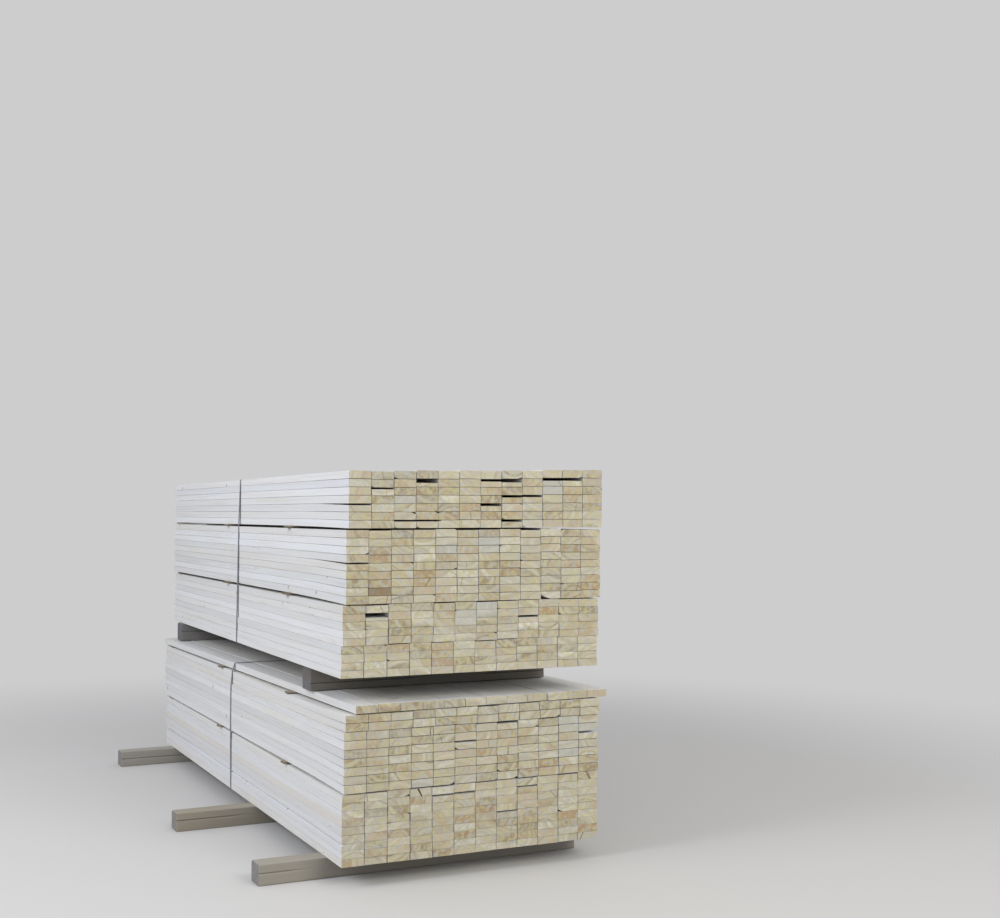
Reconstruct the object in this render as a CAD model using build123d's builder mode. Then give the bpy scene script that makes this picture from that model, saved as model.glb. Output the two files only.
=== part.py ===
"""Stack of sawn softwood lumber: two strapped packs of boards, one above the other.

Each pack is made of rows of square-edged boards laid side by side. The rows are grouped
in bundles, with thin laths across between one bundle and the next, and one steel strap
is drawn round the middle of each pack. The lower pack lies on three ground bearers and
carries the upper pack on two more, so that a lift truck's forks pass under either pack.

No two boards are sawn quite alike, so each lies on the one below it at a height of its
own, and the seams step up and down across a pack's end as they do on the real thing. Each
bundle lies a little askew on the one below.

Units are millimetres and +Z is up. The boards run along Y, with their even ends at the
low end, and X runs across the packs. The origin is on the floor, under the centre of the
stack's overall box.
"""

import os
from dataclasses import dataclass
from math import cos, radians, tan
from random import Random

from build123d import *

# Sawn boards: 100 by 32 nominal, sawn a little full
board_length = 3400
board_width = 100
board_thickness = 33.2
boards_in_row = 12

# How evenly the boards are sawn and laid
seat = 0.4  # air between a piece and what it lies on
side_seam = 0.6  # least air between two boards of a row
side_slack = 6  # more air in each row, shared out unevenly between its seams
width_scatter = 2.5  # most that a board is sawn narrow
thickness_scatter = 1.2  # most that a board is sawn thick or thin
near_end_scatter = 2.5  # most that a board stands out or back at the even end
far_end_scatter = 14  # the same at the end that isn't evened up

# Wane: the log's rounded outside, left along an edge of some boards
wane_share = 0.07
wane_width = 24  # most that it takes off the board's face
wane_depth = 11  # most that it takes off the board's edge
log_radius = 120
thin_end_length = 420  # where the log tapered out, and the board is thin on top at its near end

# Bundles from the bottom up, as runs of rows: how many, and how far to the right they lie
lower_bundles = [[(9, -6)], [(7, 0), (2, 8)], [(1, 50)]]
upper_bundles = [[(4, -10), (5, -3)], [(9, 9)], [(7, 20)]]

# How askew each bundle was laid: degrees that it is turned, with its far end to the right
lower_bundle_turns = [-0.15, -0.45, -1.35]
upper_bundle_turns = [0.68, 0.3, 0.2]

# How much thicker than usual a bundle's boards were sawn: its leftmost, and its rightmost beyond that
lower_bundle_surplus = [(-0.8, 0), (0.8, 0), (0.8, 0)]
upper_bundle_surplus = [(0, 0), (0, 0), (0, 3.3)]

# Thin ends: for a row from the bottom, the board from the left and the depth it loses on top
lower_thin_ends = {
    5: {8: 7},
    8: {5: 8, 6: 8, 9: 6},
    14: {6: 6, 12: 8},
    16: {8: 8},
}
upper_thin_ends = {
    7: {9: 9},
    8: {2: 21},
    14: {1: 6},
    19: {3: 6, 4: 6, 8: 10},
    21: {1: 6, 7: 11},
    22: {8: 10, 9: 9},
    23: {2: 6},
    24: {4: 18, 7: 10, 8: 15, 10: 12, 11: 12},
}

# Laths between bundles: three at each level
lath_thickness = 8
lath_width = 45
lath_overhang = 16  # past the pack's side
near_lath_setback = 800  # from the near end
far_lath_setback = 170  # from the far end
lath_scatter = 30  # most that a lath lies off its place, along the boards
lath_end_scatter = 9  # the same across them

# Bearers: squared timber across the stack, set back from the near end or the far end
ground_bearer_width = 110
ground_bearer_height = 90
near_ground_bearer_setback = 255
middle_ground_bearer_setback = 1365
far_ground_bearer_setback = 195
near_ground_bearer_reach = 300  # past the packs' left side
middle_ground_bearer_reach = 400
far_ground_bearer_reach = 340
middle_bearer_width = 115
middle_bearer_height = 110
near_middle_bearer_setback = 560
far_middle_bearer_setback = 220
bearer_inset = 15  # from the packs' side, where a bearer doesn't reach past it

# Steel strap, one round each pack
strap_width = 19
strap_thickness = 0.9
strap_bend = 2 * seat  # inside radius at the pack's corners, which leaves the boards' edges clear
lower_strap_offset = 85  # from the middle of the boards' length, to the far side
upper_strap_offset = 70

pack_width = boards_in_row * board_width + (boards_in_row - 1) * side_seam + side_slack


@dataclass
class Wane:
    """What the log's outside takes off a board: how much of its face and of its edge, and where."""

    width: float
    depth: float
    side: str
    face: str


@dataclass
class Board:
    """One board's place in its bundle, its size, its wane, if any, and the depth lost at a thin end.

    The whole bundle is then turned about the middle of the pack's near end.
    """

    left: float
    bottom: float
    width: float
    thickness: float
    near_end: float
    far_end: float
    turn: float
    wane: Wane
    thin_by: float

    @property
    def right(self):
        return self.left + self.width

    @property
    def top(self):
        return self.bottom + self.thickness


@dataclass
class Pack:
    """A pack's rows, and those of them that laths lie on."""

    rows: list
    lath_beds: list

    @property
    def top(self):
        return highest(self.rows[-1])


# Wanes at a pack's end that are larger than the rest, by row and board
lower_large_wanes = {(1, 12): Wane(62, 20, "right", "bottom")}
upper_large_wanes = {(10, 10): Wane(50, 22, "left", "bottom")}


def highest(boards):
    return max(board.top for board in boards)


def share_out(chance, total, count):
    """Splits a length into uneven shares."""
    weights = [chance.expovariate(1) for _ in range(count)]
    return [total * weight / sum(weights) for weight in weights]


def choose_wane(chance):
    """A wane along any of the board's four edges, or None for a square-edged board."""
    draw, size = chance.random(), chance.uniform(0.5, 1)
    side, face = chance.choice(("left", "right")), chance.choice(("top", "bottom"))
    if draw > wane_share:
        return None
    return Wane(wane_width * size, wane_depth * size, side, face)


def resting_level(left, right, below, base):
    """Where a board comes to rest: on the highest of the boards under it, or on the base."""
    under = [board for board in below if left < board.right and board.left < right]
    return highest(under) + seat if under else base


def across_at(board, across, place):
    """How far across the pack a line along a board comes, once its bundle is turned."""
    return across / cos(radians(board.turn)) + place * tan(radians(board.turn))


def lay_row(chance, left, seams, below, base, turn, surplus):
    """The boards of one row, from left to right, each loose in its own width."""
    boards = []
    leftmost_surplus, further_surplus = surplus
    for number, seam in enumerate(seams):
        narrow = width_scatter * chance.random()
        width = board_width - narrow
        edge = left + narrow * chance.random()
        thickness = board_thickness + leftmost_surplus + further_surplus * number / boards_in_row
        boards.append(
            Board(
                left=edge,
                bottom=resting_level(edge, edge + width, below, base),
                width=width,
                thickness=thickness + thickness_scatter * chance.uniform(-1, 1),
                near_end=near_end_scatter * chance.uniform(-1, 1),
                far_end=board_length + far_end_scatter * chance.uniform(-1, 1),
                turn=turn,
                wane=choose_wane(chance),
                thin_by=0,
            )
        )
        left += board_width + seam
    return boards


def lay_pack(base, bundles, turns, surpluses, thin_ends, large_wanes, seed):
    """Lays a pack's rows from the bottom up, with room for laths between its bundles."""
    chance = Random(seed)
    rows, lath_beds = [], []
    for bundle, turn, surplus in zip(bundles, turns, surpluses):
        if rows:
            lath_beds.append(rows[-1])
            base = highest(rows[-1]) + seat + lath_thickness + seat
        below = []
        shares = share_out(chance, side_slack, boards_in_row - 1)
        seams = [*(side_seam + share for share in shares), 0]
        for row_count, lean in bundle:
            for _ in range(row_count):
                below = lay_row(chance, lean - pack_width / 2, seams, below, base, turn, surplus)
                rows.append(below)
    for row, losses in thin_ends.items():
        for column, loss in losses.items():
            rows[row - 1][column - 1].thin_by = loss
    for (row, column), wane in large_wanes.items():
        rows[row - 1][column - 1].wane = wane
    return Pack(rows, lath_beds)


def draw_waned_end(board):
    """The outline of a waned board's end, round from the bark to the bark."""
    wane = board.wane
    waned_x, square_x, inward = board.left, board.right, 1
    waned_z, square_z, towards_face = board.top, board.bottom, 1
    if wane.side == "right":
        waned_x, square_x, inward = board.right, board.left, -1
    if wane.face == "bottom":
        waned_z, square_z, towards_face = board.bottom, board.top, -1
    on_edge = (waned_x, waned_z - towards_face * wane.depth)
    on_face = (waned_x + inward * wane.width, waned_z)
    with BuildLine() as outline:
        Polyline(on_edge, (waned_x, square_z), (square_x, square_z), (square_x, waned_z), on_face)
        RadiusArc(on_edge, on_face, inward * towards_face * log_radius)
    return outline.line


def make_board(board):
    """A board, extruded from its near end."""
    with BuildPart() as sawn:
        with BuildSketch(Plane.XZ.offset(-board.near_end)):
            if board.wane:
                make_face(draw_waned_end(board).edges())
            else:
                with Locations((board.left, board.bottom)):
                    Rectangle(board.width, board.thickness, align=(Align.MIN, Align.MIN))
        extrude(amount=board.near_end - board.far_end)
        if board.thin_by:
            thin_end = (board.near_end, board.top - board.thin_by)
            full_thickness = (board.near_end + thin_end_length, board.top)
            with BuildSketch(Plane.YZ.offset(board.left)):
                with BuildLine():
                    Polyline(thin_end, full_thickness, (board.near_end, board.top), close=True)
                make_face()
            extrude(amount=board.width, mode=Mode.SUBTRACT)
    return sawn.part


def make_row(boards):
    """One row: its boards side by side, as separate solids, turned as their bundle is."""
    with BuildPart() as row:
        add([make_board(board) for board in boards])
    return row.part.moved(Rotation(0, 0, -boards[0].turn))


def from_far(setback):
    """Where a piece lies that is set back from the boards' far end."""
    return board_length - setback


def make_laths(bed, chance):
    """The laths that lie across a row."""
    near, far = near_lath_setback, from_far(far_lath_setback)
    middle = (bed[0].left + bed[-1].right) / 2
    with BuildPart() as laths:
        with BuildSketch(Plane.XY.offset(highest(bed) + seat)):
            for place in (near, (near + far) / 2, far):
                along = place + lath_scatter * chance.uniform(-1, 1)
                across = across_at(bed[0], middle, along) + lath_end_scatter * chance.uniform(-1, 1)
                with Locations((across, along)):
                    Rectangle(pack_width + 2 * lath_overhang, lath_width)
        extrude(amount=lath_thickness)
    return laths.part


def make_bearer(level, place, width, height, reach):
    """A bearer across the stack, which reaches past the packs' left side."""
    left = -pack_width / 2 - reach
    right = pack_width / 2 - bearer_inset
    with BuildPart() as bearer:
        with BuildSketch(Plane.XY.offset(level)):
            with Locations(((left + right) / 2, place)):
                Rectangle(right - left, width)
        extrude(amount=height)
    return bearer.part


def bends_along(points):
    """Where a line drawn tight along one side of the points bends, without its last point."""
    bends = []
    for x, z in points:
        while len(bends) > 1:
            (x0, z0), (x1, z1) = bends[-2:]
            if (x1 - x0) * (z - z0) > (z1 - z0) * (x - x0):
                break
            bends.pop()
        bends.append((x, z))
    return bends[:-1]


def make_strap(pack, place):
    """A strap drawn tight round the pack's outermost edges."""
    corners = []
    for board in (board for row in pack.rows for board in row):
        sides = [across_at(board, side, place) for side in (board.left, board.right)]
        corners += [(side, face) for side in sides for face in (board.bottom, board.top)]
    bends = bends_along(sorted(corners)) + bends_along(sorted(corners, reverse=True))
    with BuildPart() as strap:
        with BuildSketch(Plane.XZ.offset(-place)) as loop:
            with BuildLine():
                Polyline(*bends, close=True)
            make_face()
            offset(amount=seat, kind=Kind.INTERSECTION)
            rising = loop.vertices().sort_by(lambda vertex: vertex.X + vertex.Y)
            falling = loop.vertices().sort_by(lambda vertex: vertex.X - vertex.Y)
            inside = fillet([rising[0], rising[-1], falling[0], falling[-1]], radius=strap_bend)
            offset(amount=strap_thickness, kind=Kind.INTERSECTION)
            add(inside, mode=Mode.SUBTRACT)
        extrude(amount=strap_width / 2, both=True)
    return strap.part


def build_pack(name, pack, strap_place):
    """Every node of one pack."""
    pieces = {}
    for number, boards in enumerate(pack.rows, start=1):
        pieces[f"{name}_pack_row_{number:02d}"] = make_row(boards)
    chance = Random(name)
    for number, bed in enumerate(pack.lath_beds, start=1):
        pieces[f"{name}_pack_laths_{number}"] = make_laths(bed, chance)
    pieces[f"{name}_pack_strap"] = make_strap(pack, strap_place)
    return pieces


def build_stack():
    """Every node's name and shape, stacked from the floor up."""
    ground = (0, ground_bearer_width, ground_bearer_height)
    lower_base = ground_bearer_height + seat
    lower = lay_pack(
        lower_base,
        lower_bundles,
        lower_bundle_turns,
        lower_bundle_surplus,
        lower_thin_ends,
        lower_large_wanes,
        seed=11,
    )
    middle = (lower.top + seat, middle_bearer_width, middle_bearer_height)
    upper_base = lower.top + seat + middle_bearer_height + seat
    upper = lay_pack(
        upper_base,
        upper_bundles,
        upper_bundle_turns,
        upper_bundle_surplus,
        upper_thin_ends,
        upper_large_wanes,
        seed=23,
    )
    bearers = [
        ("ground_bearer_near", ground, near_ground_bearer_setback, near_ground_bearer_reach),
        ("ground_bearer_middle", ground, middle_ground_bearer_setback, middle_ground_bearer_reach),
        ("ground_bearer_far", ground, from_far(far_ground_bearer_setback), far_ground_bearer_reach),
        ("middle_bearer_near", middle, near_middle_bearer_setback, -bearer_inset),
        ("middle_bearer_far", middle, from_far(far_middle_bearer_setback), -bearer_inset),
    ]
    pieces = {}
    for name, (level, width, height), place, reach in bearers:
        pieces[name] = make_bearer(level, place, width, height, reach)
    pieces |= build_pack("lower", lower, board_length / 2 + lower_strap_offset)
    pieces |= build_pack("upper", upper, board_length / 2 + upper_strap_offset)
    return pieces


def overall_centre(shapes):
    """The centre of the overall box, brought down to the floor."""
    boxes = [shape.bounding_box() for shape in shapes]
    low_x, high_x = min(box.min.X for box in boxes), max(box.max.X for box in boxes)
    low_y, high_y = min(box.min.Y for box in boxes), max(box.max.Y for box in boxes)
    return Vector((low_x + high_x) / 2, (low_y + high_y) / 2, 0)


pieces = build_stack()
to_origin = Location(-overall_centre(pieces.values()))
os.makedirs("parts", exist_ok=True)
for name, shape in pieces.items():
    piece = shape.moved(to_origin)
    piece.label = name
    export_step(piece, f"parts/{name}.step")
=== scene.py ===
"""Dresses a strapped stack of sawn softwood lumber: its boards, laths, bearers, straps and seals.

Lengths are in metres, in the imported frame: the boards run along Y with their even ends at
the low end, X runs across the packs and Z is up.
"""

from math import pi, radians
from random import Random

import bpy
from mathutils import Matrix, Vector, noise


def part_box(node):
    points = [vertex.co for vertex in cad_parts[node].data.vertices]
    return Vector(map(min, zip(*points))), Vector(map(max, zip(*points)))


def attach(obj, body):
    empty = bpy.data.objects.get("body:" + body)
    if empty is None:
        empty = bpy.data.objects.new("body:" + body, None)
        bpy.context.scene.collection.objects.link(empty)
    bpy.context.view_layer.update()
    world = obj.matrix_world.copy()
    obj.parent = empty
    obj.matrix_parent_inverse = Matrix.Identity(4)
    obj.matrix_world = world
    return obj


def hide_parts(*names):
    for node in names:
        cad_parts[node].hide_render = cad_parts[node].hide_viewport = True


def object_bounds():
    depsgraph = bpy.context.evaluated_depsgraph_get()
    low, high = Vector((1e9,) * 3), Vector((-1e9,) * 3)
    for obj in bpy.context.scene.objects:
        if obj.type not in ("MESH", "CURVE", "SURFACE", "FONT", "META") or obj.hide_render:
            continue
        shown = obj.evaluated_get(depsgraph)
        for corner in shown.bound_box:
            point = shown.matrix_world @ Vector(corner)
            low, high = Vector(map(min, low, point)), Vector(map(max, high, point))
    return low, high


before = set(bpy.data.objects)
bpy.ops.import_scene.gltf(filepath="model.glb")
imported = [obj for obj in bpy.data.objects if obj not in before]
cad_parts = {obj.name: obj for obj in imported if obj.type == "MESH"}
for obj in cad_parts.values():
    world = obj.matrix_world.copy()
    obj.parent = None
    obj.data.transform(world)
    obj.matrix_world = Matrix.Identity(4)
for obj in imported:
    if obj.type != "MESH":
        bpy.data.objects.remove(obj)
cad_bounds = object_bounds()

mm = 0.001

# The stack
rows_in_bundles = {"lower": (9, 9, 1), "upper": (9, 9, 7)}
lath_levels = (1, 2)
ground_bearers = ("ground_bearer_near", "ground_bearer_middle", "ground_bearer_far")
middle_bearers = ("middle_bearer_near", "middle_bearer_far")

# The camera, at a standing eye's height, placed from the middle of the packs' near end
near_bearer_setback = 0.56  # from that end to the middle of the near bearer
camera_left = 2.451
camera_back = 5.338
camera_height = 1.553
camera_turn = (radians(92.29), 0, radians(-25.65))
camera_lens = 48.47  # mm, for a picture 36 mm wide

# How the boards are sawn
arris = 0.5 * mm  # a sawn edge, a little rubbed
edge_waver = 0.8 * mm  # most that an edge wanders into its own board
waver_length = 0.35  # along the grain
edge_apart = 1.7  # how far apart in the noise a piece's edges are
way_apart = 5.3  # and the two ways in which an edge wanders
far_cuts = (1.65, 2.5)  # from a board's near end, where else its edges may turn
weld = 0.05 * mm  # points nearer than this are one
flat_within = radians(0.3)  # faces nearer than this to one plane are one
sharp_beyond = radians(30)  # edges that turn by more than this are eased

# Near ends spread into the gaps at the laths, past the last thing that presses on them
near_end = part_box("lower_pack_row_01")[0].y
spread_start = {
    "lower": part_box("middle_bearer_near")[0].y,
    "upper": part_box("upper_pack_laths_1")[0].y,
}
spread_steps = 4  # lengths that this part of a board is divided into, so that it can bend

# For each level of laths, how far the row under it rises there and the row over it sags
near_spread = {
    "lower": ((0, 7.4 * mm), (6 * mm, 0)),
    "upper": ((0, 7.8 * mm), (0, 4.6 * mm)),
}

# The log that a board was sawn from
pith_across = 75 * mm  # most that its centre lies to one side of the board's middle
pith_above = (8 * mm, 115 * mm)  # how far above or below the middle it lies
log_slant = 0.009  # most that the log leaned to the saw, as a slope
grain_spread = 40.0  # the boards are taken from anywhere along this length of grain

# How boards differ: their darkness, heartwood, grey, and their arrises' dust and painted seam
# shade, from 0, none, to 1, full
dark_curve = (1.6, 1.9)  # the two sides of its beta curve
most_heart = 0.35
most_grey = 0.35
# the arrises' dust, with painted shade for the seams between boards
most_arris_dust_and_painted_shade = 1.2
honey_heart = (0.4, 0.65)
stained_dark = 1.7  # the stain begins at 1
grey_board_dark = 0.25
grey_board_grey = (0.5, 0.75)
rough_most = 0.5  # heartwood and grey in laths and bearers

# Boards whose ends stand out: for a row from the bottom, the boards from the left
honey_boards = {
    "lower": {14: (5,), 13: (7,), 11: (4, 10), 4: (2, 11), 3: (6,), 2: (9,)},
    "upper": {
        23: (11,), 21: (4, 6), 14: (11,), 13: (4,), 12: (4, 12), 8: (10,), 5: (9,), 4: (3, 5),
    },
}
brown_boards = {
    "lower": {6: (1, 7), 2: (12,)},
    "upper": {15: (2,), 11: (2, 12), 2: (5,)},
}
stained_boards = {"lower": {}, "upper": {11: (2,)}}
grey_boards = {
    "lower": {16: (11,), 15: (11, 12), 12: (11,), 10: (4,)},
    "upper": {24: (10,), 23: (10,), 22: (3,), 17: (7,), 16: (5, 7), 9: (7,), 8: (6, 7), 7: (6,)},
}

# Laths
lath_size = Vector((1.2446, 0.045, 0.008))
lath_lengths = 8  # that it is divided into
lath_lanes = (-15 * mm, -5 * mm, 4 * mm, 13 * mm)  # where its ends split
ragged_end = 3.5 * mm
lath_arris = 0.6 * mm
lath_waver = 0.7 * mm

# Bearers
bearer_arris = 4 * mm
bearer_wane = 16 * mm
bearer_waver = 2.2 * mm
bearer_lengths = 12  # that it is divided into
crack_half_width = 1.6 * mm
crack_depth = 9 * mm
crack_shallowest = 0.5  # the least share of that depth
crack_heights = (-0.2, 0.2)  # where it lies, from the middle, as a share of the bearer's height
crack_stops = (0.15, 0.85)  # it runs in from both ends, and stops at two shares of the length

# Strap seals, on the packs' right side
seal_size = Vector((2.9 * mm, 21.4 * mm, 32 * mm))
seal_lift = 0.25 * mm  # its middle, from the strap's outer face
crimp_places = (-8 * mm, 8 * mm)  # up the seal from its middle
crimp_half_width = 2.2 * mm
crimp_depth = 2.4 * mm
crimp_bulge = 1.25  # how much thicker the sleeve is where it is crimped
seal_arris = 0.5 * mm
tail_size = Vector((0.9 * mm, 19 * mm, 75 * mm))
tail_bends = (0, tail_size.z / 4)  # up the strap's loose end from its middle
tail_spring = 3 * mm  # how far its tip stands off

# Wood: sizes of what the saw and the tree leave in it
ring_spacing = 3.4 * mm
ring_drift_width = 30 * mm
ring_drift_length = 400 * mm
ring_drift = 3  # how far the rings wander, in rings
knot_push = 4  # how far a knot pushes them outwards, in rings
latewood = ((0, "#000000"), (1, "#000000"), (0.5, "#303030"), (0.88, "#FFFFFF"))  # over a year
slow_years_scale = 0.22  # of the noise that makes spells of slow growth, per ring
fibre_width = 1.6 * mm  # real torn fibres are finer, and wouldn't show at this distance
fibre_length = 70 * mm
streak_width = 14 * mm
streak_length = 900 * mm
patch_width = 20 * mm
patch_length = 500 * mm
saw_mark_spacing = 5 * mm
saw_mark_waver = 1.5
saw_mark_waver_scale = 0.4
sawn_relief = 0.15 * mm
saw_mark_height = 0.6  # against a raised fibre's 1
split_depth = 3  # against the same
heartwood_radius = 62 * mm
heartwood_fade = 1.2  # of that radius, where it has turned into sapwood
heartwood_share = 0.28  # how strongly its colour shows
knot_spacing = 0.24
knot_log_radius = 60 * mm  # from the pith, where they are that far apart
knot_share = 0.4  # of the places for a knot, how many have one
knot_radius = 8 * mm
knot_core = (0.4, 1)  # how far out its wood reaches in full, and where it ends, in radii
knot_swirl = (0, 4)  # and how far the grain bends round it
splits_per_radian = 9  # places for one, round the pith
split_noise = (0.68, 0.74)  # where a split begins and where it is open
square_to_axis = 0.85  # a face whose normal lies further from every axis is an arris or a wane
end_arris = 0.5  # nearer than this to the grain's axis, it is cut across the grain
wood_ior = 1.45
crack_colour = "#4B3A28"

# Where each of these begins to show in its noise, where it shows most, and how strongly then
streak_shows = (0.45, 0.75, 0.16)
fibre_shows = (0.4, 0.8, 0.2)
resin_shows = (0.47, 0.66, 0.8)
grey_shows = (0.5, 0.68, 0.75)
arris_dust_and_painted_shade_noise = (0.4, 0.6)  # where the dust and painted seam shade on the arrises are thinnest and where thickest
arris_dust_and_painted_shade_amounts = (0.2, 1.1)  # how much it covers there
fibre_noise = (0.3, 0.7)  # where fibres are smoothest and where they are roughest
fibre_roughness = (-0.06, 0.08)  # what that adds to the wood's roughness

# How strongly each of these shows, on a face and on an end
slow_years_shares = (0.3, 1.7)
patch_shares = (0.3, 1)
ring_shares = (0.16, 0.34)
# the arrises' dust, with painted shade for the seams between boards
arris_dust_and_painted_shade_shares = (0.3, 1)

# Steel strapping
rolling_line_width = 0.8 * mm  # real ones are finer, and wouldn't show at this distance
rolling_line_length = 60 * mm
rolled_relief = 0.02 * mm
rolled_steel = ((0.25, "#7E808C"), (0.8, "#9A9CA6"))
tarnish_size = 25 * mm
tarnish_noise = (0.5, 0.72)  # where it begins and where it is full
tarnish_colour = "#5F5C60"
steel_roughness = (0.38, 0.62)
steel_metallic = 0.85  # a film of zinc oxide dulls it

# Light and background
floor_colour = "#C9C7C3"
floor_bounce_colour = "#A8A8AA"
floor_radius = 60
floor_fade = (2.6, 6.5)  # from the stack's middle, where the floor turns into the background
background_colour = "#CDCDCE"
sky_light_colour = "#F6F8FF"
sky_light_strength = 0.75
lamp_size = 4
lamps = {  # place, power in watts and colour
    "window": ((-6.8, -2, 5), 340, "#EDF1FB"),
    "front_lamp": ((1.5, -8, 4.8), 240, "#FFFBF0"),
}

# Shader settings
wave_band = 2 * pi / 20  # how long one band of a wave texture is at a scale of one
colour_mix = {"data_type": "RGBA", "output": 2}  # its two colours are inputs 6 and 7


def select_only(*chosen):
    """Selects these objects alone, the first of them active."""
    bpy.ops.object.select_all(action="DESELECT")
    for piece in chosen:
        piece.select_set(True)
    bpy.context.view_layer.objects.active = chosen[0]


def enter_edit(piece):
    """Opens a piece in edit mode, with all of it selected."""
    select_only(piece)
    bpy.ops.object.mode_set(mode="EDIT")
    bpy.ops.mesh.select_all(action="SELECT")


def leave_edit():
    """Goes back to object mode, which brings the mesh's data up to date."""
    bpy.ops.object.mode_set(mode="OBJECT")


def cut_across(axis, places):
    """Cuts the mesh in edit mode at each place along an axis."""
    normal = [float(axis == step) for step in range(3)]
    for place in places:
        bpy.ops.mesh.select_all(action="SELECT")
        bpy.ops.mesh.bisect(plane_co=[place * part for part in normal], plane_no=normal)


def add_block(name, middle, size):
    """A rectangular block, to be shaped further."""
    bpy.ops.object.select_all(action="DESELECT")
    bpy.ops.mesh.primitive_cube_add(size=1, location=middle)
    block = bpy.context.object
    block.name = name
    block.scale = size
    bpy.ops.object.transform_apply(location=True, rotation=True, scale=True)
    return block


def ease_edges(piece, width, segments=1):
    """Takes the sharpness off a piece's square edges."""
    select_only(piece)
    bevel = piece.modifiers.new("eased edges", "BEVEL")
    bevel.width = width
    bevel.segments = segments
    bevel.limit_method = "ANGLE"
    bevel.angle_limit = sharp_beyond
    bevel.use_clamp_overlap = False
    bpy.ops.object.modifier_apply(modifier=bevel.name)


def merged_copy(node, name):
    """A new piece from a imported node, with its triangles merged into whole flat faces."""
    piece = bpy.data.objects.new(name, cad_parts[node].data.copy())
    bpy.context.collection.objects.link(piece)
    select_only(piece)
    bpy.ops.mesh.customdata_custom_splitnormals_clear()
    enter_edit(piece)
    bpy.ops.mesh.remove_doubles(threshold=weld)
    bpy.ops.mesh.dissolve_limited(angle_limit=flat_within)
    leave_edit()
    return piece


def separate_solids(mesh):
    """The vertices of each board or lath in a mesh, from left to right."""
    neighbours = [[] for _ in mesh.vertices]
    for edge in mesh.edges:
        first, second = edge.vertices
        neighbours[first].append(second)
        neighbours[second].append(first)
    unseen = set(range(len(mesh.vertices)))
    solids = []
    while unseen:
        found = [min(unseen)]
        unseen.discard(found[0])
        for index in found:
            fresh = [near for near in neighbours[index] if near in unseen]
            unseen.difference_update(fresh)
            found += fresh
        solids.append([mesh.vertices[index] for index in found])
    return sorted(solids, key=lambda solid: sum(vertex.co.x for vertex in solid) / len(solid))


def middle_of(vertices):
    """The middle of the box round some vertices."""
    low = Vector([min(vertex.co[axis] for vertex in vertices) for axis in range(3)])
    high = Vector([max(vertex.co[axis] for vertex in vertices) for axis in range(3)])
    return (low + high) / 2


def waver_edges(vertices, chance, most, grain_axis=1):
    """Moves a piece's edges a little towards its middle, unevenly along the grain."""
    middle = middle_of(vertices)
    seed = chance.uniform(0, 100)
    for vertex in vertices:
        along = vertex.co[grain_axis] / waver_length
        offset = vertex.co - middle
        for axis in {0, 1, 2} - {grain_axis}:
            corner = sum(edge_apart * (axis + 1) * (part > 0) for part in offset)
            shift = most * abs(noise.noise(Vector((seed + corner, along, way_apart * axis))))
            vertex.co[axis] -= shift if offset[axis] > 0 else -shift


def mark_grain(piece, tones, grain_axis=1):
    """Gives each solid of a piece a place in a log of its own, and its tone.

    place_in_log is how far a point is from the pith, with the log's length along Y.
    board_tone is how dark the wood is, past 1 where it is stained, then how much of it is
    heartwood, how grey it is, and how dark its arrises are: dust, with painted seam shade.
    """
    mesh = piece.data
    mesh.attributes.new("place_in_log", "FLOAT_VECTOR", "POINT")
    mesh.attributes.new("board_tone", "FLOAT_COLOR", "POINT")
    places = mesh.attributes["place_in_log"].data
    looks = mesh.attributes["board_tone"].data
    for number, vertices in enumerate(separate_solids(mesh), start=1):
        chance = Random(f"{piece.name} grain {number}")
        middle = middle_of(vertices)
        pith = Vector((chance.uniform(-pith_across, pith_across), 0, chance.uniform(*pith_above)))
        pith.z *= chance.choice((-1, 1))
        start = Vector((0, chance.uniform(0, grain_spread), 0))
        lean_across, lean_up = [chance.uniform(-log_slant, log_slant) for _ in range(2)]
        slant = Vector((lean_across, 1, lean_up))
        look = tones(chance, number)
        # the arrises darken with dust and with painted shade for the seams between boards, more on
        # some pieces
        arris_dust_and_painted_shade = most_arris_dust_and_painted_shade * chance.random() ** 2
        for vertex in vertices:
            offset = vertex.co - middle
            if grain_axis == 0:
                offset = offset.yxz
            across = Vector((offset.x, 0, offset.z))
            places[vertex.index].vector = pith + start + across + offset.y * slant
            looks[vertex.index].color = (*look, arris_dust_and_painted_shade)


def finish_piece(piece, material, slot, *nodes):
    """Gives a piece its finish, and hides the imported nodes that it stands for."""
    piece.data.materials.clear()
    piece.data.materials.append(material)
    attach(piece, "root")
    if nodes:
        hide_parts(*nodes)


def board_tones(pack, row):
    """How the boards of one row look."""

    def tones(chance, number):
        dark = chance.betavariate(*dark_curve)
        heart = most_heart * chance.random() ** 2
        grey = most_grey * chance.random() ** 3
        if number in honey_boards[pack].get(row, ()):
            heart, grey = chance.uniform(*honey_heart), 0
        if number in brown_boards[pack].get(row, ()):
            dark, heart = 1, 1
        if number in stained_boards[pack].get(row, ()):
            dark = stained_dark
        if number in grey_boards[pack].get(row, ()):
            dark, heart, grey = grey_board_dark, 0, chance.uniform(*grey_board_grey)
        return dark, heart, grey

    return tones


def rough_tones(chance, number):
    """How laths and bearers look."""
    return chance.random(), rough_most * chance.random(), rough_most * chance.random()


def near_end_shift(pack, bundle, place):
    """How far up the near end of one row of a bundle moves as the bundle spreads."""
    closing = near_spread[pack]
    rise = closing[bundle][0] if bundle < len(closing) else 0
    sag = closing[bundle - 1][1] if bundle else 0
    share = place / max(rows_in_bundles[pack][bundle] - 1, 1)
    return share * rise - (1 - share) * sag


def bend_near_end(piece, start, shift):
    """Bends the boards' near ends up or down, more and more towards the end."""
    for vertex in piece.data.vertices:
        past = max(start - vertex.co.y, 0) / (start - near_end)
        vertex.co.z += shift * past**2


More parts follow.
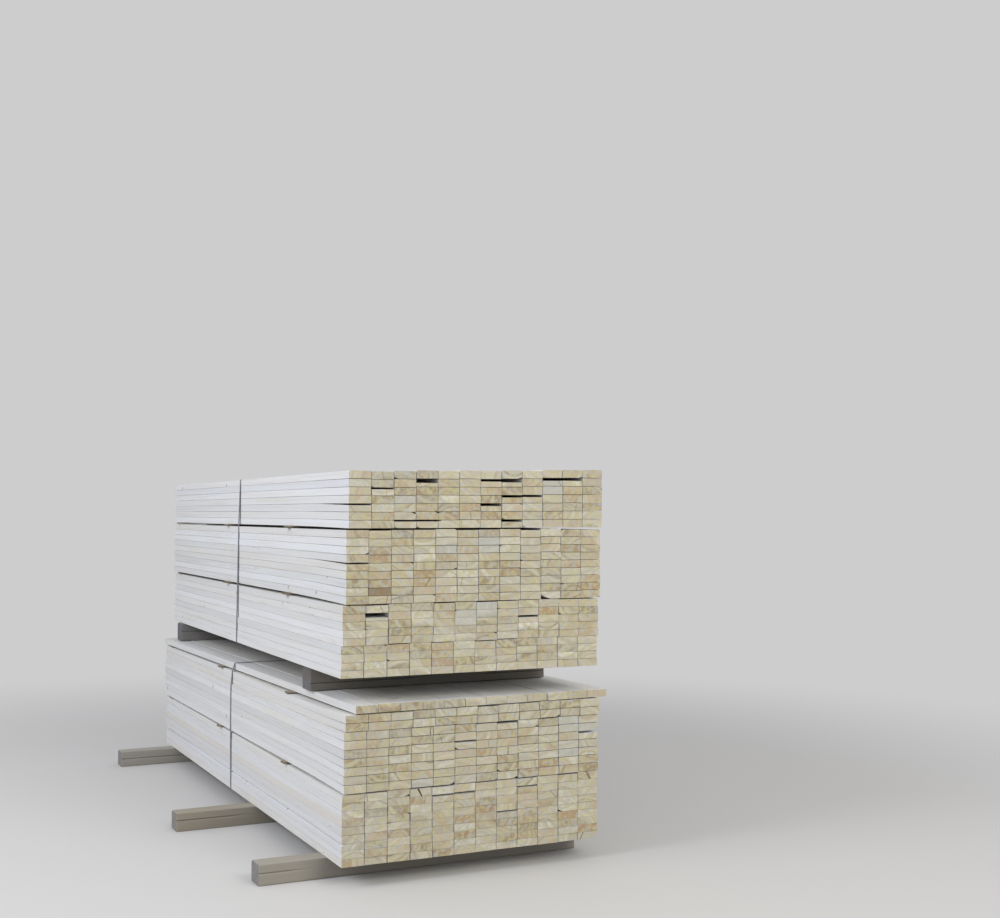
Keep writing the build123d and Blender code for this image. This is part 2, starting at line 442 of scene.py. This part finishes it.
def model_board_row(pack, row, shift, material):
    """One row of boards, each with its own eased edges, waver and grain."""
    node = f"{pack}_pack_row_{row:02d}"
    piece = merged_copy(node, f"{pack}_pack_boards_{row:02d}")
    start = spread_start[pack]
    step = (start - near_end) / spread_steps
    enter_edit(piece)
    cut_across(1, [near_end + step * number for number in range(1, spread_steps + 1)])
    cut_across(1, [near_end + cut for cut in far_cuts])
    leave_edit()
    ease_edges(piece, arris)
    mark_grain(piece, board_tones(pack, row))
    chance = Random(f"{piece.name} edges")
    for board in separate_solids(piece.data):
        waver_edges(board, chance, edge_waver)
    bend_near_end(piece, start, shift)
    finish_piece(piece, material, "sawn_boards", node)


def model_lath():
    """One lath along X, at the origin, its ends left ragged where it was snapped and sawn."""
    lath = add_block("lath", (0, 0, 0), lath_size)
    half_length = lath_size.x / 2
    enter_edit(lath)
    shares = [2 * number / lath_lengths - 1 for number in range(1, lath_lengths)]
    cut_across(0, [half_length * share for share in shares])
    cut_across(1, lath_lanes)
    leave_edit()
    chance = Random("lath ends")
    lanes = {}
    for vertex in lath.data.vertices:
        if abs(vertex.co.x) > half_length - weld:
            lane = (vertex.co.x > 0, round(vertex.co.y / mm))
            shift = lanes.setdefault(lane, ragged_end * chance.random() ** 2)
            vertex.co.x -= shift if vertex.co.x > 0 else -shift
    ease_edges(lath, lath_arris)
    waver_edges(lath.data.vertices, chance, lath_waver, grain_axis=0)
    return lath


def lay_laths(pack, level, lath, material):
    """Copies of the lath, one in each place at a level."""
    node = f"{pack}_pack_laths_{level}"
    probe = merged_copy(node, "probe")
    places = [middle_of(solid) for solid in separate_solids(probe.data)]
    bpy.data.objects.remove(probe)
    laid = []
    for number, place in enumerate(places):
        copy = bpy.data.objects.new(f"{node}_dressed", lath.data.copy())
        bpy.context.collection.objects.link(copy)
        copy.location = place
        copy.rotation_euler.z = pi * (number % 2)
        laid.append(copy)
    select_only(*laid)
    bpy.ops.object.join()
    bpy.ops.object.transform_apply(location=True, rotation=True, scale=True)
    piece = bpy.context.object
    piece.name = f"{node}_rough_sawn"
    mark_grain(piece, rough_tones, grain_axis=0)
    finish_piece(piece, material, "laths", node)


def model_bearer(node, material):
    """A squared bearer with one waney edge, worn arrises and cracks from drying."""
    low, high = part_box(node)
    size = high - low
    middle = (low + high) / 2
    chance = Random(node)
    piece = add_block(f"{node}_weathered", middle, size)
    enter_edit(piece)
    bpy.ops.mesh.select_all(action="DESELECT")
    leave_edit()
    for edge in piece.data.edges:
        ends = [piece.data.vertices[index].co for index in edge.vertices]
        edge.select = all(end.y > middle.y and end.z > middle.z for end in ends)
    bpy.ops.object.mode_set(mode="EDIT")
    bpy.ops.mesh.select_mode(type="EDGE")
    bpy.ops.mesh.bevel(offset=bearer_wane, segments=3, affect="EDGES")
    crack = middle.z + size.z * chance.uniform(*crack_heights)
    cut_across(2, [crack - crack_half_width, crack, crack + crack_half_width])
    cut_across(0, [low.x + size.x * number / bearer_lengths for number in range(1, bearer_lengths)])
    leave_edit()
    first_stop, last_stop = sorted(chance.uniform(*crack_stops) for _ in range(2))
    for vertex in piece.data.vertices:
        share = (vertex.co.x - low.x) / size.x
        on_crack = abs(vertex.co.z - crack) < weld and vertex.co.y < low.y + weld
        if on_crack and not first_stop < share < last_stop:
            vertex.co.y += crack_depth * chance.uniform(crack_shallowest, 1)
    ease_edges(piece, bearer_arris, segments=2)
    waver_edges(piece.data.vertices, chance, bearer_waver, grain_axis=0)
    mark_grain(piece, rough_tones, grain_axis=0)
    finish_piece(piece, material, "bearers", node)


def model_seal(pack, material):
    """A crimped steel sleeve over the strap's two ends, with the loose end above it."""
    strap = f"{pack}_pack_strap"
    low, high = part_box(strap)
    outside = Vector((high.x + 1, (low.y + high.y) / 2, (low.z + high.z) / 2))
    _, place, normal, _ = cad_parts[strap].ray_cast(outside, Vector((-1, 0, 0)))
    seal = add_block(f"{pack}_pack_strap_seal", (0, 0, 0), seal_size)
    half_width = seal_size.y / 2
    enter_edit(seal)
    for crimp in crimp_places:
        cut_across(2, [crimp - crimp_half_width, crimp, crimp + crimp_half_width])
    leave_edit()
    for vertex in seal.data.vertices:
        if any(abs(vertex.co.z - crimp) < weld for crimp in crimp_places):
            vertex.co.y *= (half_width - crimp_depth) / half_width
            vertex.co.x *= crimp_bulge
    ease_edges(seal, seal_arris, segments=2)
    tail = add_block("loose_end", (0, 0, 0), tail_size)
    enter_edit(tail)
    cut_across(2, tail_bends)
    leave_edit()
    for vertex in tail.data.vertices:
        up = vertex.co.z / tail_size.z + 0.5
        vertex.co.x += tail_spring * up**3 + tail_size.x / 2
        vertex.co.z += seal_size.z / 2
    select_only(seal, tail)
    bpy.ops.object.join()
    seal.location = place + normal * seal_lift
    seal.rotation_mode = "QUATERNION"
    seal.rotation_quaternion = normal.to_track_quat("X", "Z")
    bpy.ops.object.transform_apply(location=True, rotation=True, scale=True)
    seal.rotation_mode = "XYZ"
    finish_piece(seal, material, "steel_straps")


def linear(hex_colour):
    """An sRGB hex colour as linear light, with full alpha."""
    parts = [int(hex_colour[start:start + 2], 16) / 255 for start in (1, 3, 5)]
    light = [part / 12.92 if part <= 0.04045 else ((part + 0.055) / 1.055) ** 2.4 for part in parts]
    return (*light, 1)


def add_node(tree, kind, inputs=None, output=0, stops=(), **settings):
    """Adds a shader node with its settings, fills or links its inputs, and returns an output.

    stops are a ramp's places and colours, with its two ends first.
    """
    node = tree.nodes.new(kind)
    for name, value in settings.items():
        setattr(node, name, value)
    for socket, value in (inputs or {}).items():
        if isinstance(value, bpy.types.NodeSocket):
            tree.links.new(value, node.inputs[socket])
        else:
            node.inputs[socket].default_value = value
    for number, (place, colour) in enumerate(stops):
        elements = node.color_ramp.elements
        element = elements[number] if number < 2 else elements.new(place)
        element.position = place
        element.color = linear(colour)
    return node.outputs[output] if node.outputs else node


def start_material(name):
    """A new material and its empty node tree."""
    material = bpy.data.materials.new(name)
    material.use_nodes = True
    material.node_tree.nodes.clear()
    return material, material.node_tree


def add_grain_noise(tree, place, width, length, detail=2, output="Fac"):
    """Noise drawn out along the grain, in patches of about this width and length."""
    scale = (1 / width, 1 / length, 1 / width)
    grain = add_node(tree, "ShaderNodeMapping", {"Vector": place, "Scale": scale})
    grain = {"Vector": grain, "Scale": 1, "Detail": detail}
    return add_node(tree, "ShaderNodeTexNoise", grain, output=output)


def add_knots(tree, angle, along):
    """Where a knot's own wood is, and where the grain bends round it, each from 0 to 1.

    Knots start at the pith, so they are set out by angle and length, with few in any board.
    """
    arc = add_node(tree, "ShaderNodeMath", {0: angle, 1: knot_log_radius}, operation="MULTIPLY")
    unrolled = add_node(tree, "ShaderNodeCombineXYZ", {"X": arc, "Y": along})
    branches = {"Vector": unrolled, "Scale": 1 / knot_spacing}
    branches = add_node(tree, "ShaderNodeTexVoronoi", branches, voronoi_dimensions="2D")
    branches = branches.node.outputs
    chosen = add_node(tree, "ShaderNodeSeparateColor", {"Color": branches["Color"]})
    chosen = {0: chosen, 1: 1 - knot_share}
    chosen = add_node(tree, "ShaderNodeMath", chosen, operation="GREATER_THAN")
    knot_edge = knot_radius / knot_spacing
    reaches = []
    for full, none in (knot_core, knot_swirl):
        reach = {"Value": branches["Distance"], "To Min": 1, "To Max": 0}
        reach |= {"From Min": full * knot_edge, "From Max": none * knot_edge}
        reach = add_node(tree, "ShaderNodeMapRange", reach, interpolation_type="SMOOTHSTEP")
        reach = add_node(tree, "ShaderNodeMath", {0: reach, 1: chosen}, operation="MULTIPLY")
        reaches.append(reach)
    return reaches


def add_rings(tree, place, radius, swirl):
    """How far from the pith each point grew, as a length and in rings, and its latewood.

    The rings wander a little, and bend round a knot.
    """
    drift = add_grain_noise(tree, place, ring_drift_width, ring_drift_length)
    grown = radius
    for push, most in ((drift, ring_drift), (swirl, knot_push)):
        grown = {0: push, 1: most * ring_spacing, 2: grown}
        grown = add_node(tree, "ShaderNodeMath", grown, operation="MULTIPLY_ADD")
    rings = add_node(tree, "ShaderNodeMath", {0: grown, 1: ring_spacing}, operation="DIVIDE")
    season = add_node(tree, "ShaderNodeMath", {0: rings}, operation="FRACT")
    year = add_node(tree, "ShaderNodeMath", {0: rings}, operation="FLOOR")
    growth = add_node(tree, "ShaderNodeTexWhiteNoise", {"W": year}, noise_dimensions="1D")
    late = add_node(tree, "ShaderNodeValToRGB", {"Fac": season}, stops=latewood)
    late = add_node(tree, "ShaderNodeMath", {0: late, 1: growth}, operation="MULTIPLY")
    return grown, rings, late


def find_cuts(tree, end_axis):
    """1 where a face is cut across the grain, and 1 where it is an arris or a wane."""
    normal = add_node(tree, "ShaderNodeTexCoord", output="Normal")
    facing = add_node(tree, "ShaderNodeVectorMath", {0: normal}, operation="ABSOLUTE")
    facing = add_node(tree, "ShaderNodeSeparateXYZ", {"Vector": facing}).node.outputs
    is_end = {0: facing[end_axis], 1: end_arris}
    is_end = add_node(tree, "ShaderNodeMath", is_end, operation="GREATER_THAN")
    squarest = facing["X"]
    for axis in ("Y", "Z"):
        squarest = {0: squarest, 1: facing[axis]}
        squarest = add_node(tree, "ShaderNodeMath", squarest, operation="MAXIMUM")
    is_arris = {0: squarest, 1: square_to_axis}
    return is_end, add_node(tree, "ShaderNodeMath", is_arris, operation="LESS_THAN")


def add_splits(tree, angle, along, is_end):
    """Splits in an end, along the radius, as it dries."""
    fan = add_node(tree, "ShaderNodeCombineXYZ", {"X": angle, "Y": along})
    split = {"Vector": fan, "Scale": splits_per_radian, "Detail": 3}
    split = add_node(tree, "ShaderNodeTexNoise", split, output="Fac")
    split = {"Value": split, "From Min": split_noise[0], "From Max": split_noise[1]}
    split = add_node(tree, "ShaderNodeMapRange", split)
    return add_node(tree, "ShaderNodeMath", {0: split, 1: is_end}, operation="MULTIPLY")


def add_sawn_relief(tree, place, fibre, split):
    """Saw marks across the grain and raised fibres, with the splits let in."""
    marks = {"Vector": place, "Scale": wave_band / saw_mark_spacing}
    marks |= {"Distortion": saw_mark_waver, "Detail Scale": saw_mark_waver_scale}
    marks = add_node(tree, "ShaderNodeTexWave", marks, output="Fac", bands_direction="Y")
    relief = fibre
    for part, height in ((marks, saw_mark_height), (split, -split_depth)):
        relief = {0: part, 1: height, 2: relief}
        relief = add_node(tree, "ShaderNodeMath", relief, operation="MULTIPLY_ADD")
    bump = {"Height": relief, "Distance": sawn_relief, "Strength": 1}
    return add_node(tree, "ShaderNodeBump", bump)


def make_sawn_wood(
    name, end_axis, faces, ends, heartwood, greyed, resin, arris_dust_and_painted_shade_colour, knot_colour, roughness
):
    """Rough sawn softwood, with growth rings about the pith, fibres, knots and saw marks.

    faces and ends run from pale to dark wood. heartwood, greyed and resin are for faces and ends.
    The arris colour is dust, with painted shade for the seams between boards.
    """
    material, tree = start_material(name)
    place = add_node(tree, "ShaderNodeAttribute", output="Vector", attribute_name="place_in_log")
    look = add_node(tree, "ShaderNodeAttribute", attribute_name="board_tone").node.outputs
    tone = add_node(tree, "ShaderNodeSeparateColor", {"Color": look["Color"]}).node.outputs
    dark, heart, grey = tone
    across, along, above = add_node(tree, "ShaderNodeSeparateXYZ", {"Vector": place}).node.outputs
    from_pith = {0: add_node(tree, "ShaderNodeCombineXYZ", {"X": across, "Z": above})}
    radius = add_node(tree, "ShaderNodeVectorMath", from_pith, output="Value", operation="LENGTH")
    angle = add_node(tree, "ShaderNodeMath", {0: above, 1: across}, operation="ARCTAN2")

    # What the tree grew, and what the saw and drying did
    core, swirl = add_knots(tree, angle, along)
    grown, rings, late = add_rings(tree, place, radius, swirl)
    is_end, is_arris = find_cuts(tree, end_axis)
    split = add_splits(tree, angle, along, is_end)
    fibre = add_grain_noise(tree, place, fibre_width, fibre_length, detail=3)
    streak = add_grain_noise(tree, place, streak_width, streak_length)
    patches = add_grain_noise(tree, place, patch_width, patch_length, output="Color")
    patches = add_node(tree, "ShaderNodeSeparateColor", {"Color": patches}).node.outputs

    # How strongly each shows
    spell_share, patch_share, ring_share, arris_dust_and_painted_shade_share = [
        add_node(tree, "ShaderNodeMapRange", {"Value": is_end, "To Min": on_face, "To Max": on_end})
        for on_face, on_end in (slow_years_shares, patch_shares, ring_shares, arris_dust_and_painted_shade_shares)
    ]
    streak, fibre_shade, resin_patch, grey_patch = [
        add_node(
            tree,
            "ShaderNodeMapRange",
            {"Value": value, "From Min": begins, "From Max": full, "To Max": most},
        )
        for value, (begins, full, most) in (
            (streak, streak_shows),
            (fibre, fibre_shows),
            (patches["Red"], resin_shows),
            (patches["Green"], grey_shows),
        )
    ]
    in_heart = {"Value": grown, "To Min": heartwood_share, "To Max": 0}
    in_heart |= {"From Min": heartwood_radius, "From Max": heartwood_fade * heartwood_radius}
    in_heart = add_node(tree, "ShaderNodeMapRange", in_heart)
    in_heart, resin_patch, grey_patch = [
        add_node(tree, "ShaderNodeMath", {0: patch, 1: patch_share}, operation="MULTIPLY")
        for patch in (in_heart, resin_patch, grey_patch)
    ]
    heart = add_node(tree, "ShaderNodeMath", {0: heart, 1: in_heart}, operation="ADD")
    grey = add_node(tree, "ShaderNodeMath", {0: grey, 1: grey_patch}, operation="MAXIMUM")
    stain = add_node(tree, "ShaderNodeMapRange", {"Value": dark, "From Min": 1, "From Max": 2})
    late = add_node(tree, "ShaderNodeMath", {0: late, 1: ring_share}, operation="MULTIPLY")
    # Dust on the arrises and wanes, with painted shade for the seams between boards, darkens them
    arris_dust_and_painted_shade = {"Value": patches["Blue"], "From Min": arris_dust_and_painted_shade_noise[0], "From Max": arris_dust_and_painted_shade_noise[1]}
    arris_dust_and_painted_shade |= {"To Min": arris_dust_and_painted_shade_amounts[0], "To Max": arris_dust_and_painted_shade_amounts[1]}
    arris_dust_and_painted_shade = add_node(tree, "ShaderNodeMapRange", arris_dust_and_painted_shade)
    for share in (look["Alpha"], is_arris, arris_dust_and_painted_shade_share):
        arris_dust_and_painted_shade = add_node(tree, "ShaderNodeMath", {0: arris_dust_and_painted_shade, 1: share}, operation="MULTIPLY")

    # The board's own tone, with spells of slow growth
    spells = add_node(tree, "ShaderNodeCombineXYZ", {"X": rings, "Y": along})
    spells = {"Vector": spells, "Scale": slow_years_scale, "Detail": 2}
    spells = add_node(tree, "ShaderNodeTexNoise", spells, output="Fac", noise_dimensions="2D")
    spells = add_node(tree, "ShaderNodeMath", {0: spells, 1: 0.5}, operation="SUBTRACT")
    darkness = {0: spells, 1: spell_share, 2: dark}
    darkness = add_node(tree, "ShaderNodeMath", darkness, operation="MULTIPLY_ADD")
    face = add_node(tree, "ShaderNodeValToRGB", {"Fac": darkness}, stops=faces)
    end = add_node(tree, "ShaderNodeValToRGB", {"Fac": darkness}, stops=ends)
    colour = add_node(tree, "ShaderNodeMix", {0: is_end, 6: face, 7: end}, **colour_mix)

    # Over it, heartwood, resin and grey, which differ on a face and an end, and then the rest, last
    # the arrises' dust and painted seam shade
    layers = []
    for amount, tints in ((heart, heartwood), (resin_patch, resin), (grey, greyed)):
        on_face, on_end = [linear(tint) for tint in tints]
        tint = add_node(tree, "ShaderNodeMix", {0: is_end, 6: on_face, 7: on_end}, **colour_mix)
        layers.append((amount, tint))
    layers += [
        (stain, linear(knot_colour)),
        (late, linear(knot_colour)),
        (streak, linear(heartwood[1])),
        (fibre_shade, linear(greyed[1])),
        (core, linear(knot_colour)),
        (split, linear(crack_colour)),
        (arris_dust_and_painted_shade, linear(arris_dust_and_painted_shade_colour)),
    ]
    for amount, tint in layers:
        colour = add_node(tree, "ShaderNodeMix", {0: amount, 6: colour, 7: tint}, **colour_mix)

    smoothest, roughest = [roughness + change for change in fibre_roughness]
    rough = {"Value": fibre, "From Min": fibre_noise[0], "From Max": fibre_noise[1]}
    rough |= {"To Min": smoothest, "To Max": roughest}
    rough = add_node(tree, "ShaderNodeMapRange", rough)
    wood = {"Base Color": colour, "Roughness": rough, "IOR": wood_ior}
    wood["Normal"] = add_sawn_relief(tree, place, fibre, split)
    wood = add_node(tree, "ShaderNodeBsdfPrincipled", wood)
    add_node(tree, "ShaderNodeOutputMaterial", {"Surface": wood})
    return material


def make_fresh_spruce():
    """Fresh sawn spruce: near white with the grain, straw to tan where the ends are cut."""
    return make_sawn_wood(
        "fresh_sawn_spruce",
        "Y",
        faces=((0, "#E5E6E6"), (1, "#D0D0CD")),
        ends=((0, "#DDD8C6"), (1, "#9A8D6E"), (0.35, "#CEC6AD"), (0.7, "#BCB193")),
        heartwood=("#DED7C9", "#B2946A"),
        greyed=("#CFD0D4", "#B9BCB8"),
        resin=("#E0DDCB", "#C7C28F"),
        # the arrises' dust, with painted seam shade
        arris_dust_and_painted_shade_colour="#5F533D",
        knot_colour="#7D6A50",
        roughness=0.76,
    )


def make_shaded_rough_laths():
    """Rough sawn laths, used again and again: browner than the boards, and darkened further
    as painted shade for the shadow in the gaps between rows.
    """
    return make_sawn_wood(
        "rough_sawn_lath",
        "X",
        faces=((0, "#A2957B"), (1, "#7F7159")),
        ends=((0, "#857A66"), (1, "#62574A")),
        heartwood=("#8F7C5C", "#6B5840"),
        greyed=("#908A80", "#746E66"),
        resin=("#93835F", "#766645"),
        # the arrises' dust, with painted seam shade
        arris_dust_and_painted_shade_colour="#5F5542",
        knot_colour="#4A3826",
        roughness=0.82,
    )


def make_weathered_timber():
    """Weathered bearers: sawn timber gone grey-brown, with dirt in its cracks."""
    return make_sawn_wood(
        "weathered_sawn_timber",
        "X",
        faces=((0, "#B5AE9C"), (1, "#8F8672")),
        ends=((0, "#A09C94"), (1, "#7C766C")),
        heartwood=("#A08F70", "#7E6A4E"),
        greyed=("#A3A2A0", "#84858C"),
        resin=("#9A9078", "#857C6A"),
        # the arrises' dust, with painted seam shade
        arris_dust_and_painted_shade_colour="#7A7264",
        knot_colour="#4A3B2C",
        roughness=0.86,
    )


def make_shaded_bearer_timber():
    """Bearers between the packs: darker than the ground bearers, in painted shade for the shadow
    that the upper pack casts on them.
    """
    return make_sawn_wood(
        "dirty_sawn_timber",
        "X",
        faces=((0, "#8C8880"), (1, "#6A665E")),
        ends=((0, "#75757A"), (1, "#5A5A5E")),
        heartwood=("#7A705E", "#65594A"),
        greyed=("#86868A", "#66686E"),
        resin=("#77726A", "#66625C"),
        # the arrises' dust, with painted seam shade
        arris_dust_and_painted_shade_colour="#5C5850",
        knot_colour="#3E342A",
        roughness=0.88,
    )


def make_strap_steel():
    """Galvanised steel strapping: cold rolled, so dull and lined along its length."""
    material, tree = start_material("galvanised_strapping")
    place = add_node(tree, "ShaderNodeTexCoord", output="Object")
    line_scale = (1 / rolling_line_length, 1 / rolling_line_width, 1 / rolling_line_length)
    lines = add_node(tree, "ShaderNodeMapping", {"Vector": place, "Scale": line_scale})
    lines = {"Vector": lines, "Scale": 1, "Detail": 2}
    lines = add_node(tree, "ShaderNodeTexNoise", lines, output="Fac")
    spots = {"Vector": place, "Scale": 1 / tarnish_size, "Detail": 4}
    spots = add_node(tree, "ShaderNodeTexNoise", spots, output="Fac")
    tarnish = {"Value": spots, "From Min": tarnish_noise[0], "From Max": tarnish_noise[1]}
    tarnish = add_node(tree, "ShaderNodeMapRange", tarnish)
    bright = add_node(tree, "ShaderNodeValToRGB", {"Fac": lines}, stops=rolled_steel)
    tarnished = {0: tarnish, 6: bright, 7: linear(tarnish_colour)}
    colour = add_node(tree, "ShaderNodeMix", tarnished, **colour_mix)
    rough = {"Value": spots, "To Min": steel_roughness[0], "To Max": steel_roughness[1]}
    rough = add_node(tree, "ShaderNodeMapRange", rough)
    bump = {"Height": lines, "Distance": rolled_relief, "Strength": 1}
    bump = add_node(tree, "ShaderNodeBump", bump)
    steel = {"Base Color": colour, "Roughness": rough, "Normal": bump, "Metallic": steel_metallic}
    steel = add_node(tree, "ShaderNodeBsdfPrincipled", steel)
    add_node(tree, "ShaderNodeOutputMaterial", {"Surface": steel})
    return material


def find_seen(tree):
    """1 for the rays that the camera sees, straight or through gloss or glass, 0 for the rest."""
    rays = add_node(tree, "ShaderNodeLightPath").node.outputs
    seen = {0: rays["Is Camera Ray"], 1: rays["Is Glossy Ray"]}
    seen = add_node(tree, "ShaderNodeMath", seen, operation="MAXIMUM")
    seen = {0: seen, 1: rays["Is Transmission Ray"]}
    return add_node(tree, "ShaderNodeMath", seen, operation="MAXIMUM")


def make_floor():
    """A plain pale floor that keeps the stack's shadow, and throws little light back up."""
    material, tree = start_material("plain_pale_floor")
    seen = find_seen(tree)
    shade = {0: seen, 6: linear(floor_bounce_colour), 7: linear(floor_colour)}
    shade = add_node(tree, "ShaderNodeMix", shade, **colour_mix)
    surface = add_node(tree, "ShaderNodeBsdfDiffuse", {"Color": shade})
    place = {0: add_node(tree, "ShaderNodeTexCoord", output="Object")}
    away = add_node(tree, "ShaderNodeVectorMath", place, output="Value", operation="LENGTH")
    away = {"Value": away, "From Min": floor_fade[0], "From Max": floor_fade[1]}
    away = add_node(tree, "ShaderNodeMapRange", away, interpolation_type="SMOOTHSTEP")
    away = add_node(tree, "ShaderNodeMath", {0: away, 1: seen}, operation="MULTIPLY")
    distance = add_node(tree, "ShaderNodeEmission", {"Color": linear(background_colour)})
    surface = add_node(tree, "ShaderNodeMixShader", {0: away, 1: surface, 2: distance})
    add_node(tree, "ShaderNodeOutputMaterial", {"Surface": surface})
    bpy.ops.object.select_all(action="DESELECT")
    bpy.ops.mesh.primitive_circle_add(vertices=64, radius=floor_radius, fill_type="NGON")
    floor = bpy.context.object
    floor.name = "floor"
    floor.data.materials.append(material)


def light_world():
    """Even light from all round, and a plain pale background to look at."""
    world = bpy.data.worlds.new("studio")
    bpy.context.scene.world = world
    world.use_nodes = True
    tree = world.node_tree
    tree.nodes.clear()
    seen = find_seen(tree)
    light = {"Color": linear(sky_light_colour), "Strength": sky_light_strength}
    light = add_node(tree, "ShaderNodeBackground", light)
    view = {"Color": linear(background_colour), "Strength": 1}
    view = add_node(tree, "ShaderNodeBackground", view)
    mixed = add_node(tree, "ShaderNodeMixShader", {0: seen, 1: light, 2: view})
    add_node(tree, "ShaderNodeOutputWorld", {"Surface": mixed})


def hang_lamp(name, place, power, colour):
    """A large soft lamp, aimed at the middle of the stack."""
    lamp = bpy.data.lights.new(name, "AREA")
    lamp.shape = "DISK"
    lamp.size = lamp_size
    lamp.energy = power
    lamp.color = linear(colour)[:3]
    holder = bpy.data.objects.new(name, lamp)
    bpy.context.collection.objects.link(holder)
    holder.location = place
    aim = sum(cad_bounds, Vector()) / 2 - Vector(place)
    holder.rotation_euler = aim.to_track_quat("-Z", "Y").to_euler()


def set_camera():
    """The camera, at the photograph's place and angle."""
    bearer = sum(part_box("middle_bearer_near"), Vector()) / 2
    near_end_y = bearer.y - near_bearer_setback
    lens = bpy.data.cameras.new("camera")
    lens.lens = camera_lens
    camera = bpy.data.objects.new("camera", lens)
    bpy.context.collection.objects.link(camera)
    camera.location = (bearer.x - camera_left, near_end_y - camera_back, camera_height)
    camera.rotation_euler = camera_turn
    bpy.context.scene.camera = camera


bpy.context.scene.view_settings.view_transform = "Standard"
set_camera()
light_world()
for name, (place, power, colour) in lamps.items():
    hang_lamp(name, place, power, colour)
make_floor()

fresh_spruce = make_fresh_spruce()
for pack, bundles in rows_in_bundles.items():
    row = 0
    for bundle, row_count in enumerate(bundles):
        for place in range(row_count):
            row += 1
            model_board_row(pack, row, near_end_shift(pack, bundle, place), fresh_spruce)

# the laths' colours are darkened as painted shade for the gaps between rows
shaded_rough_laths = make_shaded_rough_laths()
lath = model_lath()
for pack in rows_in_bundles:
    for level in lath_levels:
        lay_laths(pack, level, lath, shaded_rough_laths)
bpy.data.objects.remove(lath)

weathered_timber = make_weathered_timber()
for node in ground_bearers:
    model_bearer(node, weathered_timber)
# the bearers between the packs get darker colours: painted shade
shaded_bearer_timber = make_shaded_bearer_timber()
for node in middle_bearers:
    model_bearer(node, shaded_bearer_timber)

strap_steel = make_strap_steel()
for pack in rows_in_bundles:
    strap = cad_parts[f"{pack}_pack_strap"]
    strap.data.materials.clear()
    strap.data.materials.append(strap_steel)
    model_seal(pack, strap_steel)
